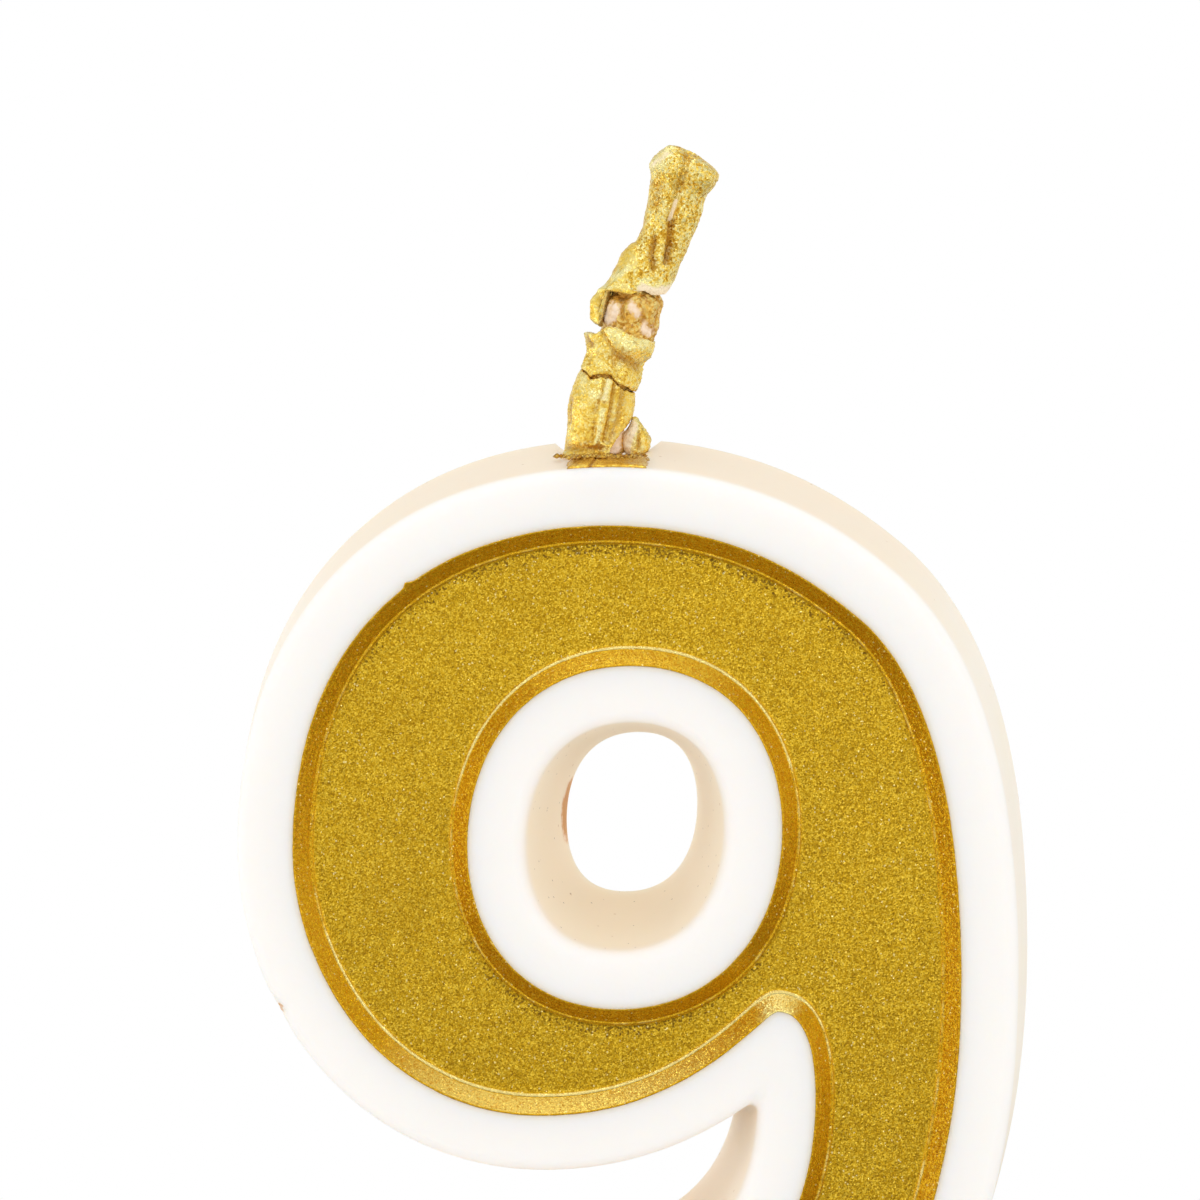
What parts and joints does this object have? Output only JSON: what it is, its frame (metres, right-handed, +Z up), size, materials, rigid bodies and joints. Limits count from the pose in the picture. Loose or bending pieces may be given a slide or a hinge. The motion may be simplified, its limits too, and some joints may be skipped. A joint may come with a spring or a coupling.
{
  "type": "number candle",
  "caption": "Moulded wax numeral nine candle with a sunken gold face, a bent gold crusted wick at the top and a barbed plastic pick below that holds it upright in a cake.",
  "frame": {"origin": "on the axis of the pick, at the underside of its collar, where it rests on the top of the cake", "axes": "+X to the right as the numeral is read, +Y from the gold face to the poured back, +Z up along the pick to the wick"},
  "size_m": [0.0482, 0.012, 0.1197],
  "materials": {
    "wax": "cream paraffin wax, satin",
    "gold_coat": "gold lacquer with fine glitter",
    "gold_crust": "gold lacquered wax, crinkled and glossy",
    "cotton": "waxed cotton cord",
    "plastic": "white moulded polystyrene"
  },
  "bodies": {
    "root": {"wax_body": "wax", "gold_face": "gold_coat", "wick_overspray": "gold_coat", "wick_core": "cotton", "wick_crust_foot": "gold_crust", "wick_crust_middle": "gold_crust", "wick_crust_fold": "gold_crust", "wick_crust_tip": "gold_crust", "wick_flake": "gold_crust", "cake_pick": "plastic"}
  },
  "joints": []
}
